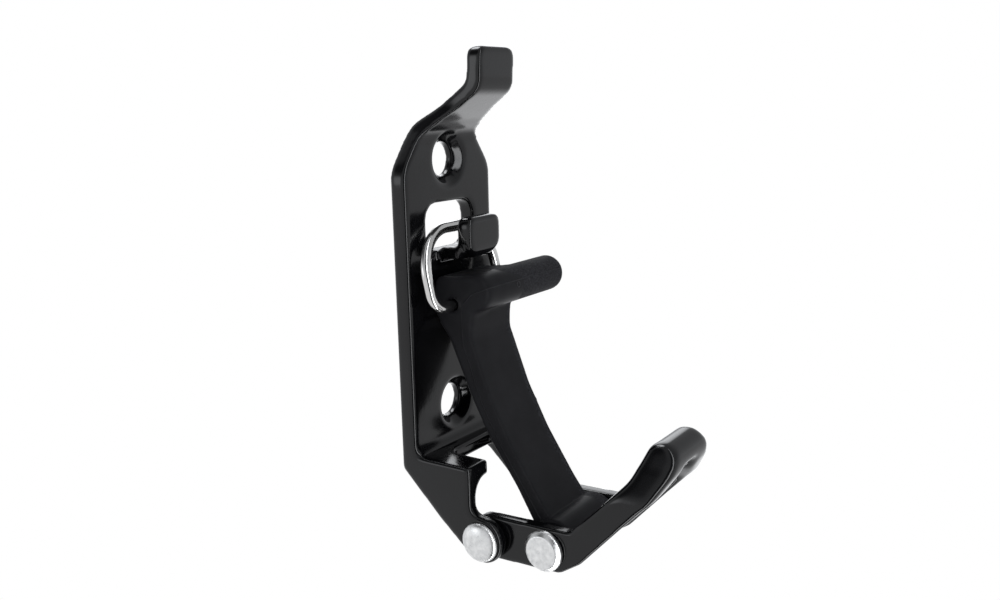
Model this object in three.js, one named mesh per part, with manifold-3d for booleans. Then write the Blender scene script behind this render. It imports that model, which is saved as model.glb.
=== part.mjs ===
// Bicycle wall rack: a one-piece wall bracket with a tongue and two ears, a forked hook lever
// riveted between the ears, and a rubber draw strap whose wire ring hooks over the tongue.
// Millimetres. X is to the right seen from the front, +Y runs into the wall, +Z is up.
// The origin is on the wall face, midway between the two screw holes.
import * as THREE from "three";
import { mergeVertices } from "three/addons/utils/BufferGeometryUtils.js";
import Module from "manifold-3d";

const wasm = await Module();
wasm.setup();

// ---------------------------------------------------------------- driving dimensions
const GAP = 0.3; // running or assembly gap between neighbouring pieces

// wall plate
const PLATE_W = 40; // width of the plate
const PLATE_T = 5; // thickness of the plate, wall face at Y 0
const PLATE_BOTTOM = -51; // lower end of the plate and underside of the shelf
const HOLE_SPACING = 71; // centre to centre of the two screw holes
const HOLE_R = 4.75; // screw hole
const SINK_R = 7.5; // countersink at the front face
const SINK_DEPTH = 2.6;
const SHOULDER_Z = 31; // the plate starts to narrow here
const NECK_Z = 44.5; // the plate bends forward here
const NECK_HALF_W = 12.1;

// lip at the top of the neck
const LIP_FRONT_Y = -22;
const LIP_TOP_Z = 65.6;
const LIP_BOTTOM_Z = 56;
const LIP_T = 4.5;
const LIP_HALF_W = 8.1;
const LIP_CORNER_R = 3;

// window above the tongue
const WINDOW_HALF_W = 11;
const WINDOW_BOTTOM = 10.4;
const WINDOW_TOP = 23.6;
const WINDOW_CORNER_R = 4.6;

// tongue that the ring hooks over
const TONGUE_HALF_W = 7.3;
const TONGUE_STEM_T = 3.4;
const TONGUE_STEM_TOP = 11.6;
const TONGUE_TAB_T = 4.5;
const TONGUE_FRONT_Y = -17;
const TONGUE_TOP_Z = 20.1;
const TONGUE_BEND_R = 3.4;
const TONGUE_ROOT_R = 3.2; // fillet under the stem
const TONGUE_CORNER_R = 2.6;

// shelf and ears at the foot of the plate
const SHELF_T = 4.1;
const SHELF_FRONT_Y = -23.4;
const NOTCH_HALF_W = 10.8; // open notch in the shelf that the strap folds into
const NOTCH_BACK_Y = -10.4;
const EAR_T = 3.5;
const EAR_FILLET_R = 5;
const EAR_BOSS_R = 6.4;

// rivet axes, both along X
const PIVOT_Y = -26.8; // lever rivet
const PIVOT_Z = -67;
const STRAP_PIN_Y = -45.2; // strap rivet
const STRAP_PIN_Z = -66.3;
const PIN_R = 2.8;
const PIN_FIT = 0.08; // radial clearance of a bore that turns on a rivet
const RIVET_HEAD_R = 5.65;
const RIVET_HEAD_H = 2.2;
const RIVET_TAIL_R = 4.4;
const RIVET_TAIL_H = 1.6;
const WASHER_R = 5.4;
const WASHER_T = 1;

// hook lever
const ARM_OUTER_X = PLATE_W / 2 - EAR_T - GAP; // outer face of each arm, just inside the ears
const ARM_T = 3.9;
const ARM_INNER_X = ARM_OUTER_X - ARM_T;
const ARM_END_R = 6.1;
const CAP_HALF_W = 8.7; // half width of the closed tip of the fork
const SLOT_TIP_HALF_W = 4.2;

// rubber strap
const STRAP_HALF_W = 10.4;
const EYE_R = 6.7; // rubber round the strap rivet
const EYE_HALF_W = ARM_INNER_X - 0.45;
const SLEEVE_WALL = 1;
const HEAD_Y = -11.95; // axis of the ring bore through the strap head
const HEAD_Z = -4.1;
const HEAD_R = 6.2;
const HEAD_TOP_Z = 3.8;
const BAR_Y = -19.2; // axis of the pull bar
const BAR_Z = -0.3;
const BAR_R = 5.3;
const BAR_END_X = 30.9; // free end of the pull bar, it sticks out on one side only

// wire ring
const WIRE_R = 1.5;
const RING_HALF_W = 16.1; // to the wire's centre line
const RING_OVER_STEM = 3.65; // from the stem of the tongue up to the wire
const RING_OFF_PLATE = 0.64; // from the plate to the back of the leaning ring
const RING_TOP_R = 12.6;
const RING_FOOT_R = 4.4;
const RING_RISE = TONGUE_STEM_TOP + RING_OVER_STEM + WIRE_R - HEAD_Z;
const RING_SET_BACK = -PLATE_T - RING_OFF_PLATE - WIRE_R - HEAD_Y;
const RING_H = Math.hypot(RING_RISE, RING_SET_BACK); // to the wire's centre line
const RING_LEAN = Math.atan2(RING_SET_BACK, RING_RISE); // radians, top towards the wall
const RING_X = -1.8; // the ring has slid a little to the left in its bore
const RING_BUTT = 0.3; // the wire's two ends meet inside the head

// ---------------------------------------------------------------- helpers
function solidOf(geometry, matrix) {
  const g = new THREE.BufferGeometry();
  const source = geometry.index ? geometry.toNonIndexed() : geometry;
  g.setAttribute("position", source.getAttribute("position").clone());
  if (matrix) g.applyMatrix4(matrix);
  const merged = mergeVertices(g, 1e-3);
  return new wasm.Manifold(
    new wasm.Mesh({
      numProp: 3,
      vertProperties: merged.attributes.position.array,
      triVerts: new Uint32Array(merged.index.array),
    }),
  );
}

// Corner points [a, b, r] turned into a closed outline; a corner with a radius becomes an arc.
function outline(corners, steps = 6) {
  const points = [];
  const n = corners.length;
  corners.forEach(([a, b, r = 0], i) => {
    const here = new THREE.Vector2(a, b);
    if (!r) {
      points.push(here);
      return;
    }
    const before = new THREE.Vector2(...corners[(i + n - 1) % n].slice(0, 2)).sub(here);
    const after = new THREE.Vector2(...corners[(i + 1) % n].slice(0, 2)).sub(here);
    const u = before.clone().normalize();
    const v = after.clone().normalize();
    const half = Math.acos(THREE.MathUtils.clamp(u.dot(v), -1, 1)) / 2;
    const reach = Math.min(r / Math.tan(half), before.length() * 0.49, after.length() * 0.49);
    const radius = reach * Math.tan(half);
    const centre = u.clone().add(v).normalize().multiplyScalar(radius / Math.sin(half)).add(here);
    const from = here.clone().addScaledVector(u, reach).sub(centre);
    const to = here.clone().addScaledVector(v, reach).sub(centre);
    const start = Math.atan2(from.y, from.x);
    let turn = Math.atan2(to.y, to.x) - start;
    if (turn > Math.PI) turn -= 2 * Math.PI;
    if (turn < -Math.PI) turn += 2 * Math.PI;
    for (let s = 0; s <= steps; s++) {
      const t = start + (turn * s) / steps;
      points.push(new THREE.Vector2(centre.x + radius * Math.cos(t), centre.y + radius * Math.sin(t)));
    }
  });
  return points;
}

function shapeOf(points, holes = []) {
  const shape = new THREE.Shape(points);
  holes.forEach((hole) => shape.holes.push(new THREE.Path(hole)));
  return shape;
}

// Outline in (Y, Z), drawn out along X from x0 to x1.
function alongX(points, x0, x1, bevel = 0) {
  const geometry = new THREE.ExtrudeGeometry(shapeOf(points), {
    depth: x1 - x0 - 2 * bevel,
    bevelEnabled: bevel > 0,
    bevelThickness: bevel,
    bevelSize: bevel,
    bevelOffset: -bevel,
    bevelSegments: 2,
  });
  const turn = new THREE.Matrix4().makeBasis(
    new THREE.Vector3(0, 1, 0),
    new THREE.Vector3(0, 0, 1),
    new THREE.Vector3(1, 0, 0),
  );
  return solidOf(geometry, turn.setPosition(x0 + bevel, 0, 0));
}

// Outline in (X, Z), drawn out along Y from the back plane towards the front.
function alongY(points, back, front, bevel = 0, holes = []) {
  const geometry = new THREE.ExtrudeGeometry(shapeOf(points, holes), {
    depth: back - front - 2 * bevel,
    bevelEnabled: bevel > 0,
    bevelThickness: bevel,
    bevelSize: bevel,
    bevelOffset: -bevel,
    bevelSegments: 2,
  });
  const turn = new THREE.Matrix4().makeBasis(
    new THREE.Vector3(1, 0, 0),
    new THREE.Vector3(0, 0, 1),
    new THREE.Vector3(0, -1, 0),
  );
  return solidOf(geometry, turn.setPosition(0, back - bevel, 0));
}

// Turned solid: profile of [radius, distance] pairs, its axis laid along X or along -Y.
function turned(profile, axis, x, y, z, segments = 36) {
  const points = profile.map(([r, h]) => new THREE.Vector2(r, h));
  const geometry = new THREE.LatheGeometry(points, segments);
  const matrix = new THREE.Matrix4();
  if (axis === "X") matrix.makeRotationZ(-Math.PI / 2);
  else matrix.makeRotationX(Math.PI);
  return solidOf(geometry, matrix.setPosition(x, y, z));
}

function rodX(radius, x0, x1, y, z, segments = 36) {
  return turned(
    [
      [0, 0],
      [radius, 0],
      [radius, x1 - x0],
      [0, x1 - x0],
    ],
    "X",
    x0,
    y,
    z,
    segments,
  );
}

const root = new THREE.Group();

function place(name, solid, colour, roughness, metalness) {
  const made = solid.getMesh();
  const geometry = new THREE.BufferGeometry();
  geometry.setAttribute("position", new THREE.BufferAttribute(new Float32Array(made.vertProperties), 3));
  geometry.setIndex(new THREE.BufferAttribute(new Uint32Array(made.triVerts), 1));
  geometry.computeVertexNormals();
  const mesh = new THREE.Mesh(
    geometry,
    new THREE.MeshStandardMaterial({ color: colour, roughness: roughness, metalness: metalness }),
  );
  mesh.name = name;
  root.add(mesh);
}

// ---------------------------------------------------------------- wall bracket
function wallBracket() {
  const w = PLATE_W / 2;
  // one front outline and one side outline give the plate, the neck and the lip
  const rightEdge = [
    [w, PLATE_BOTTOM + SHELF_T / 2, 0],
    [w, SHOULDER_Z + 2, 9],
    [NECK_HALF_W, NECK_Z - 0.9, 4],
    [LIP_HALF_W + 0.5, NECK_Z + 5.5, 7],
    [LIP_HALF_W, LIP_BOTTOM_Z, 7],
    [LIP_HALF_W, LIP_TOP_Z + 0.1, LIP_CORNER_R],
  ];
  const mirrored = rightEdge.map(([x, z, r]) => [-x, z, r]).reverse();
  const windowHole = outline([
    [-WINDOW_HALF_W, WINDOW_BOTTOM, WINDOW_CORNER_R],
    [WINDOW_HALF_W, WINDOW_BOTTOM, WINDOW_CORNER_R],
    [WINDOW_HALF_W, WINDOW_TOP, WINDOW_CORNER_R],
    [-WINDOW_HALF_W, WINDOW_TOP, WINDOW_CORNER_R],
  ]);
  const side = outline([
    [0, PLATE_BOTTOM + SHELF_T / 2, 0],
    [0, NECK_Z + 0.2, 6],
    [-9.5, NECK_Z + 6.2, 12],
    [LIP_FRONT_Y + LIP_T, LIP_BOTTOM_Z + 0.4, 4],
    [LIP_FRONT_Y + LIP_T - 0.5, LIP_TOP_Z, 1.2],
    [LIP_FRONT_Y - 0.5, LIP_TOP_Z, 1.2],
    [LIP_FRONT_Y, LIP_BOTTOM_Z - 1.6, 5],
    [-10, NECK_Z + 1.9, 10],
    [-PLATE_T, NECK_Z - 2, 4],
    [-PLATE_T, PLATE_BOTTOM + SHELF_T / 2, 0],
  ]);
  let body = alongX(side, -w, w).intersect(
    alongY(outline([...rightEdge, ...mirrored]), 1, LIP_FRONT_Y - 2, 0, [windowHole]),
  );

  // tongue: a stem from under the window, then an upright tab
  const stemTop = TONGUE_STEM_TOP;
  const hook = outline([
    [-PLATE_T + 1.5, WINDOW_BOTTOM - 1.5, 0],
    [-PLATE_T, WINDOW_BOTTOM - 0.4, 1],
    [-PLATE_T - 2, stemTop, 2],
    [TONGUE_FRONT_Y + TONGUE_TAB_T, stemTop, 1.6],
    [TONGUE_FRONT_Y + TONGUE_TAB_T, TONGUE_TOP_Z, 0.8],
    [TONGUE_FRONT_Y, TONGUE_TOP_Z, 0.8],
    [TONGUE_FRONT_Y, stemTop - TONGUE_STEM_T, TONGUE_BEND_R],
    [-PLATE_T - 0.4, stemTop - TONGUE_STEM_T, TONGUE_ROOT_R],
    [-PLATE_T + 0.8, stemTop - TONGUE_STEM_T - 5, 0],
    [-PLATE_T + 1.5, stemTop - TONGUE_STEM_T - 5, 0],
  ]);
  const tabFace = outline([
    [-TONGUE_HALF_W, stemTop - TONGUE_STEM_T, 5.4],
    [TONGUE_HALF_W, stemTop - TONGUE_STEM_T, 5.4],
    [TONGUE_HALF_W, TONGUE_TOP_Z, TONGUE_CORNER_R],
    [-TONGUE_HALF_W, TONGUE_TOP_Z, TONGUE_CORNER_R],
  ]);
  const tabCut = alongY(tabFace, TONGUE_FRONT_Y + TONGUE_TAB_T - 1, TONGUE_FRONT_Y - 1);
  const stemCut = alongY(
    outline([
      [-TONGUE_HALF_W, 0, 0],
      [TONGUE_HALF_W, 0, 0],
      [TONGUE_HALF_W, TONGUE_TOP_Z, TONGUE_CORNER_R],
      [-TONGUE_HALF_W, TONGUE_TOP_Z, TONGUE_CORNER_R],
    ]),
    0,
    TONGUE_FRONT_Y + TONGUE_TAB_T - 1,
  );
  body = body.add(alongX(hook, -TONGUE_HALF_W, TONGUE_HALF_W).intersect(tabCut.add(stemCut)));

  // foot: side outline of shelf and ears, hollowed between the ears
  const foot = outline([
    [0, PLATE_BOTTOM, 0.8],
    [0, PLATE_BOTTOM + SHELF_T, 0],
    [SHELF_FRONT_Y, PLATE_BOTTOM + SHELF_T, 0.8],
    [SHELF_FRONT_Y, PIVOT_Z + EAR_BOSS_R + 0.6, 3.5],
    [PIVOT_Y - 0.5, PIVOT_Z + EAR_BOSS_R - 0.2, 0],
    [PIVOT_Y, PIVOT_Z, 0],
    [PIVOT_Y + EAR_BOSS_R * 0.69, PIVOT_Z - EAR_BOSS_R * 0.72, 0],
    [-12.4, -63.1, 3],
  ]);
  let ears = alongX(foot, -w, w).add(rodX(EAR_BOSS_R, -w, w, PIVOT_Y, PIVOT_Z, 40));
  const inside = outline([
    [-(w - EAR_T), PLATE_BOTTOM, EAR_FILLET_R],
    [w - EAR_T, PLATE_BOTTOM, EAR_FILLET_R],
    [w - EAR_T, PIVOT_Z - EAR_BOSS_R - 2, 0],
    [-(w - EAR_T), PIVOT_Z - EAR_BOSS_R - 2, 0],
  ]);
  ears = ears.subtract(alongY(inside, 2, PIVOT_Y - EAR_BOSS_R - 2));
  const notch = outline([
    [-NOTCH_HALF_W, SHELF_FRONT_Y - 2],
    [-NOTCH_HALF_W, NOTCH_BACK_Y, 3],
    [NOTCH_HALF_W, NOTCH_BACK_Y, 3],
    [NOTCH_HALF_W, SHELF_FRONT_Y - 2],
  ]);
  const notchCut = new THREE.ExtrudeGeometry(shapeOf(notch), { depth: 12, bevelEnabled: false });
  notchCut.translate(0, 0, PLATE_BOTTOM - 4);
  ears = ears.subtract(solidOf(notchCut));
  body = body.add(ears);

  // fillet between the plate and the top of the shelf
  const cove = outline(
    [
      [-PLATE_T + 0.5, PLATE_BOTTOM + SHELF_T + 3.2, 0],
      [-PLATE_T, PLATE_BOTTOM + SHELF_T + 3.2, 0],
      [-PLATE_T, PLATE_BOTTOM + SHELF_T, 0],
      [-PLATE_T - 3.2, PLATE_BOTTOM + SHELF_T, 0],
      [-PLATE_T - 3.2, PLATE_BOTTOM + SHELF_T - 0.5, 0],
      [-PLATE_T + 0.5, PLATE_BOTTOM + SHELF_T - 0.5, 0],
    ],
    4,
  );
  const coveArc = [];
  for (let s = 0; s <= 6; s++) {
    const t = (Math.PI / 2) * (s / 6);
    coveArc.push(
      new THREE.Vector2(
        -PLATE_T - 3.2 + 3.2 * Math.cos(t),
        PLATE_BOTTOM + SHELF_T + 3.2 - 3.2 * Math.sin(t),
      ),
    );
  }
  const covePoints = [cove[0], ...coveArc, cove[4], cove[5]];
  body = body.add(alongX(covePoints, -(w - 0.7), w - 0.7));

  // screw holes with their countersinks, and the two rivet holes in the ears
  [HOLE_SPACING / 2, -HOLE_SPACING / 2].forEach((z) => {
    const drill = turned(
      [
        [0, -1],
        [HOLE_R, -1],
        [HOLE_R, PLATE_T - SINK_DEPTH],
        [SINK_R, PLATE_T],
        [SINK_R, PLATE_T + 2],
        [0, PLATE_T + 2],
      ],
      "-Y",
      0,
      0,
      z,
    );
    body = body.subtract(drill);
  });
  return body.subtract(rodX(PIN_R + PIN_FIT, -w - 1, w + 1, PIVOT_Y, PIVOT_Z));
}

// ---------------------------------------------------------------- hook lever
function hookLever() {
  const bottom = STRAP_PIN_Z - ARM_END_R;
  const side = outline(
    [
      [PIVOT_Y, PIVOT_Z + ARM_END_R, 0],
      [-52.5, STRAP_PIN_Z + ARM_END_R + 0.2, 2.5],
      [-63.5, -48.6, 14],
      [-68.2, -43.8, 9],
      [-70.6, -38.4, 4],
      [-72, -34.6, 2.6],
      [-76.2, -33.8, 3],
      [-79.8, -36.8, 3],
      [-78.6, -41, 3],
      [-75, -47.4, 10],
      [-66.4, -56.3, 8],
      [-55.4, bottom + 4.2, 5],
      [-49.4, bottom + 0.2, 4],
      [PIVOT_Y, PIVOT_Z - ARM_END_R, 0],
    ],
    5,
  );
  const front = outline([
    [ARM_OUTER_X, -80, 0],
    [ARM_OUTER_X, -48, 7],
    [CAP_HALF_W + 2.6, -40, 5],
    [CAP_HALF_W - 1.6, -31.6, 5],
    [-CAP_HALF_W + 1.6, -31.6, 5],
    [-CAP_HALF_W - 2.6, -40, 5],
    [-ARM_OUTER_X, -48, 7],
    [-ARM_OUTER_X, -80, 0],
  ]);
  const slot = outline([
    [ARM_INNER_X, -90, 0],
    [ARM_INNER_X, -50.5, 6],
    [SLOT_TIP_HALF_W + 1.2, -44, 3],
    [SLOT_TIP_HALF_W, -40, 2.6],
    [-SLOT_TIP_HALF_W, -40, 2.6],
    [-SLOT_TIP_HALF_W - 1.2, -44, 3],
    [-ARM_INNER_X, -50.5, 6],
    [-ARM_INNER_X, -90, 0],
  ]);
  return alongX(side, -ARM_OUTER_X, ARM_OUTER_X)
    .add(rodX(ARM_END_R, -ARM_OUTER_X, ARM_OUTER_X, PIVOT_Y, PIVOT_Z, 40))
    .intersect(alongY(front, 0, -95))
    .subtract(alongY(slot, 5, -100))
    .subtract(rodX(PIN_R + PIN_FIT, -30, 30, PIVOT_Y, PIVOT_Z))
    .subtract(rodX(PIN_R + PIN_FIT, -30, 30, STRAP_PIN_Y, STRAP_PIN_Z));
}

// A rivet through everything on its axis: head on the left, peened tail over a washer on the right.
function longRivet(halfWidth, y, z) {
  const headFace = -halfWidth - GAP;
  const tailFace = halfWidth + GAP + WASHER_T + GAP;
  const length = tailFace - headFace;
  return turned(
    [
      [0, -RIVET_HEAD_H],
      [RIVET_HEAD_R - 1, -RIVET_HEAD_H],
      [RIVET_HEAD_R, -RIVET_HEAD_H + 1],
      [RIVET_HEAD_R, 0],
      [PIN_R, 0],
      [PIN_R, length],
      [RIVET_TAIL_R, length],
      [RIVET_TAIL_R * 0.82, length + RIVET_TAIL_H * 0.7],
      [RIVET_TAIL_R * 0.4, length + RIVET_TAIL_H],
      [0, length + RIVET_TAIL_H],
    ],
    "X",
    headFace,
    y,
    z,
  );
}

// The lever turns on two short rivets, one through each ear and arm, so nothing crosses the fork between them. This is the left one.
function shortRivet() {
  const headFace = -PLATE_W / 2 - GAP;
  const length = -ARM_INNER_X + GAP - headFace;
  return turned(
    [
      [0, -RIVET_HEAD_H],
      [RIVET_HEAD_R * 0.45, -RIVET_HEAD_H * 0.93],
      [RIVET_HEAD_R * 0.8, -RIVET_HEAD_H * 0.68],
      [RIVET_HEAD_R * 0.97, -RIVET_HEAD_H * 0.3],
      [RIVET_HEAD_R, 0],
      [PIN_R, 0],
      [PIN_R, length],
      [RIVET_TAIL_R, length],
      [RIVET_TAIL_R * 0.82, length + RIVET_TAIL_H * 0.7],
      [RIVET_TAIL_R * 0.4, length + RIVET_TAIL_H],
      [0, length + RIVET_TAIL_H],
    ],
    "X",
    headFace,
    PIVOT_Y,
    PIVOT_Z,
  );
}

// Ring of rectangular section round a rivet.
function tube(inner, outer, x0, x1, y, z) {
  return turned(
    [
      [inner, 0],
      [outer, 0],
      [outer, x1 - x0],
      [inner, x1 - x0],
      [inner, 0],
    ],
    "X",
    x0,
    y,
    z,
  );
}

// ---------------------------------------------------------------- rubber strap
// Back and front of the blade, from the head down to the eye: it bends a little towards the lever.
const BLADE_BACK = [
  [-7.2, -9.2, 0],
  [-10.6, -13.4, 4],
  [-17.9, -30, 30],
  [-24, -41.4, 30],
  [-32.4, -53.4, 30],
  [-36.6, -60.6, 6],
];
const BLADE_FRONT = [
  [-44.6, -60.8, 0],
  [-42.4, -59.4, 5],
  [-38.6, -54.2, 30],
  [-30.6, -41.8, 30],
  [-24.2, -29.4, 30],
  [-18, -13, 6],
  [-18.6, -5.4, 0],
];
const splitPoint = new THREE.Vector2(-24.2, -35.6);
const strapDir = new THREE.Vector2(0.47, 0.883).normalize(); // up the blade at the split
const strapSide = new THREE.Vector2(strapDir.y, -strapDir.x); // towards the wall

function strapSolid() {
  const blade = outline([
    [HEAD_Y, HEAD_Z, 0],
    ...BLADE_BACK,
    [STRAP_PIN_Y + EYE_R * 0.8, STRAP_PIN_Z, 0],
    [STRAP_PIN_Y, STRAP_PIN_Z, 0],
    ...BLADE_FRONT,
  ]);
  const eyeHalf = EYE_HALF_W;
  let rubber = alongX(blade, -STRAP_HALF_W, STRAP_HALF_W, 0.7);
  rubber = rubber.add(rodX(EYE_R, -eyeHalf, eyeHalf, STRAP_PIN_Y, STRAP_PIN_Z));
  rubber = rubber.add(rodX(HEAD_R, -STRAP_HALF_W, STRAP_HALF_W, HEAD_Y, HEAD_Z));
  const bar = turned(
    [
      [0, 0],
      [BAR_R - 0.8, 0],
      [BAR_R, 0.8],
      [BAR_R, STRAP_HALF_W + BAR_END_X - 2],
      [BAR_R - 0.6, STRAP_HALF_W + BAR_END_X - 0.6],
      [BAR_R - 2, STRAP_HALF_W + BAR_END_X],
      [0, STRAP_HALF_W + BAR_END_X],
    ],
    "X",
    -STRAP_HALF_W,
    BAR_Y,
    BAR_Z,
  );
  const web = outline([
    [-6.4, HEAD_Z - 2, 0],
    [-6.4, HEAD_TOP_Z, 3],
    [-12, HEAD_TOP_Z + 0.3, 4],
    [BAR_Y, BAR_Z + BAR_R, 0],
    [BAR_Y, BAR_Z, 0],
    [BAR_Y - 1, BAR_Z - BAR_R + 1, 2],
    [-18.6, HEAD_Z - 2, 2],
    [-16, HEAD_Z - 5, 0],
  ]);
  rubber = rubber.add(bar).add(alongX(web, -STRAP_HALF_W, STRAP_HALF_W));
  return rubber
    .subtract(rodX(PIN_R + PIN_FIT + SLEEVE_WALL + GAP, -30, 30, STRAP_PIN_Y, STRAP_PIN_Z))
    .subtract(rodX(WIRE_R + GAP, -30, 30, HEAD_Y, HEAD_Z, 20));
}

// Everything on the head side (or the foot side) of the split plane.
function halfSpace(upper) {
  const reach = 90;
  const shift = upper ? GAP / 2 : -GAP / 2;
  const base = splitPoint.clone().addScaledVector(strapDir, shift);
  const way = upper ? reach : -reach;
  const corners = [
    base.clone().addScaledVector(strapSide, reach),
    base.clone().addScaledVector(strapSide, -reach),
    base.clone().addScaledVector(strapSide, -reach).addScaledVector(strapDir, way),
    base.clone().addScaledVector(strapSide, reach).addScaledVector(strapDir, way),
  ];
  return alongX(upper ? corners.reverse() : corners, -60, 60);
}

// ---------------------------------------------------------------- wire ring
function wireRing() {
  const w = RING_HALF_W;
  const h = RING_H;
  const path = new THREE.CurvePath();
  const line = (a, b) => path.add(new THREE.LineCurve3(a, b));
  const bend = (cx, cv, r, from, to) => {
    const steps = r > 6 ? 7 : 5;
    for (let s = 0; s < steps; s++) {
      const a = THREE.MathUtils.degToRad(from + ((to - from) * s) / steps);
      const b = THREE.MathUtils.degToRad(from + ((to - from) * (s + 1)) / steps);
      line(
        new THREE.Vector3(cx + r * Math.cos(a), 0, cv + r * Math.sin(a)),
        new THREE.Vector3(cx + r * Math.cos(b), 0, cv + r * Math.sin(b)),
      );
    }
  };
  const f = RING_FOOT_R;
  const t = RING_TOP_R;
  line(new THREE.Vector3(RING_BUTT / 2, 0, 0), new THREE.Vector3(w - f, 0, 0));
  bend(w - f, f, f, -90, 0);
  line(new THREE.Vector3(w, 0, f), new THREE.Vector3(w, 0, h - t));
  bend(w - t, h - t, t, 0, 90);
  line(new THREE.Vector3(w - t, 0, h), new THREE.Vector3(t - w, 0, h));
  bend(t - w, h - t, t, 90, 180);
  line(new THREE.Vector3(-w, 0, h - t), new THREE.Vector3(-w, 0, f));
  bend(f - w, f, f, 180, 270);
  line(new THREE.Vector3(f - w, 0, 0), new THREE.Vector3(-RING_BUTT / 2, 0, 0));
  const round = new THREE.Shape(
    Array.from({ length: 12 }, (_, i) => {
      const a = (2 * Math.PI * i) / 12;
      return new THREE.Vector2(WIRE_R * Math.cos(a), WIRE_R * Math.sin(a));
    }),
  );
  const geometry = new THREE.ExtrudeGeometry(round, {
    steps: 76,
    bevelEnabled: false,
    extrudePath: path,
  });
  const lean = new THREE.Matrix4()
    .makeRotationX(-RING_LEAN)
    .setPosition(RING_X, HEAD_Y, HEAD_Z);
  return solidOf(geometry, lean);
}

// ---------------------------------------------------------------- the pieces
const BLACK = 0x17181a;
const RUBBER = 0x1c1c1d;
const STEEL = 0xc9cacc;
const ZINC = 0xd7d8da;

place("wall_bracket", wallBracket(), BLACK, 0.25, 0.1);
place("hook_lever", hookLever(), BLACK, 0.25, 0.1);
place("lever_rivet_left", shortRivet(), ZINC, 0.3, 1);
place("lever_rivet_right", shortRivet().mirror([1, 0, 0]), ZINC, 0.3, 1);
place("strap_rivet", longRivet(ARM_OUTER_X, STRAP_PIN_Y, STRAP_PIN_Z), ZINC, 0.3, 1);
place(
  "strap_rivet_washer",
  tube(
    PIN_R + GAP,
    WASHER_R,
    ARM_OUTER_X + GAP,
    ARM_OUTER_X + GAP + WASHER_T,
    STRAP_PIN_Y,
    STRAP_PIN_Z,
  ),
  ZINC,
  0.35,
  1,
);
place(
  "strap_sleeve",
  tube(
    PIN_R + PIN_FIT,
    PIN_R + PIN_FIT + SLEEVE_WALL,
    -ARM_INNER_X + GAP,
    ARM_INNER_X - GAP,
    STRAP_PIN_Y,
    STRAP_PIN_Z,
  ),
  ZINC,
  0.4,
  1,
);
const rubberStrap = strapSolid();
place("strap_foot", rubberStrap.intersect(halfSpace(false)), RUBBER, 0.6, 0);
place("strap_head", rubberStrap.intersect(halfSpace(true)), RUBBER, 0.6, 0);
place("d_ring", wireRing(), STEEL, 0.15, 1);

export default root;
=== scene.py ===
# %% [markdown]
# # A bicycle wall rack in Blender
# The rack is a gloss black steel bracket that screws to a wall, a forked hook lever riveted to its foot,
# and a rubber strap whose steel ring hooks over a tongue on the bracket. The exact sizes come from the
# CAD model, which is loaded first and never changed. Every finished piece below takes the place of one
# CAD solid, keeps its size, and adds the rounded edges and the surface that the real piece has.

import math

import bmesh
import bpy
import numpy as np
from mathutils import Matrix, Vector


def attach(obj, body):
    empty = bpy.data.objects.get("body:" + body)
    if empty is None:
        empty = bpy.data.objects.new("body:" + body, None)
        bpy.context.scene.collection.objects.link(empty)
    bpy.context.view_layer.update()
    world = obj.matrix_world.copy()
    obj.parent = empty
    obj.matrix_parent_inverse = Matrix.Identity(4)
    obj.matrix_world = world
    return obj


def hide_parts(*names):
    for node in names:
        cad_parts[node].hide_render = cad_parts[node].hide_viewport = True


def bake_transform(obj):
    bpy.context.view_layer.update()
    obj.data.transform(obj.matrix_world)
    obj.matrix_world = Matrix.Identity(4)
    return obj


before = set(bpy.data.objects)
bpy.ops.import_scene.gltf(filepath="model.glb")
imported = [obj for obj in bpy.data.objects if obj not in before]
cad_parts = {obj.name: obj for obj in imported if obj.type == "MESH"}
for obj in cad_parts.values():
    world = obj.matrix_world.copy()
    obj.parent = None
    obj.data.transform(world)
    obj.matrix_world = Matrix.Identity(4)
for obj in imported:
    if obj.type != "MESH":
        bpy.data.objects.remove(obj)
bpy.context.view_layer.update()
MM = 0.001
print("CAD solids:", sorted(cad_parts))

# %% [markdown]
# ## Camera
# The camera comes first, because every later choice is judged through it. It stands to the front left of
# the rack, a little above its middle, and looks down slightly. Its turn is built from three plain angles:
# how far it faces round from the wall, how far it looks down, and a small tilt of the horizon.

# %% Camera
CAMERA_PLACE = (-0.22137, -0.17280, 0.05108)
CAMERA_YAW = 55.624
CAMERA_PITCH = -11.512
CAMERA_TILT = -1.351
SENSOR_WIDTH = 36
FOCAL_LENGTH = 35.1


def camera_axes(yaw, pitch, tilt):
    a, p, r = math.radians(yaw), math.radians(pitch), math.radians(tilt)
    forward = Vector((math.sin(a) * math.cos(p), math.cos(a) * math.cos(p), math.sin(p)))
    right = forward.cross(Vector((0, 0, 1))).normalized()
    up = right.cross(forward)
    return right * math.cos(r) + up * math.sin(r), up * math.cos(r) - right * math.sin(r), forward


right, up, forward = camera_axes(CAMERA_YAW, CAMERA_PITCH, CAMERA_TILT)
camera_data = bpy.data.cameras.new("camera")
camera_data.sensor_width = SENSOR_WIDTH
camera_data.lens = FOCAL_LENGTH
camera_data.clip_start = 0.005
camera_data.clip_end = 50
camera = bpy.data.objects.new("camera", camera_data)
bpy.context.scene.collection.objects.link(camera)
turn = Matrix((right, up, -forward)).transposed().to_4x4()
camera.matrix_world = Matrix.Translation(CAMERA_PLACE) @ turn
bpy.context.scene.camera = camera
print("camera looks along", [round(c, 3) for c in forward])

# %% [markdown]
# ## Helpers for finishes
# Colours are written as the hex values a painter would read off a screen, and one function turns them to
# the linear values that light is worked out in. One small function adds a node with its settings and its
# links, so that each finish below reads as a short list of what feeds what.


# %% Colour and node helpers
def colour(hex_value):
    parts = [int(hex_value[i : i + 2], 16) / 255 for i in (1, 3, 5)]
    linear = [c / 12.92 if c <= 0.04045 else ((c + 0.055) / 1.055) ** 2.4 for c in parts]
    return (*linear, 1.0)


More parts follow.
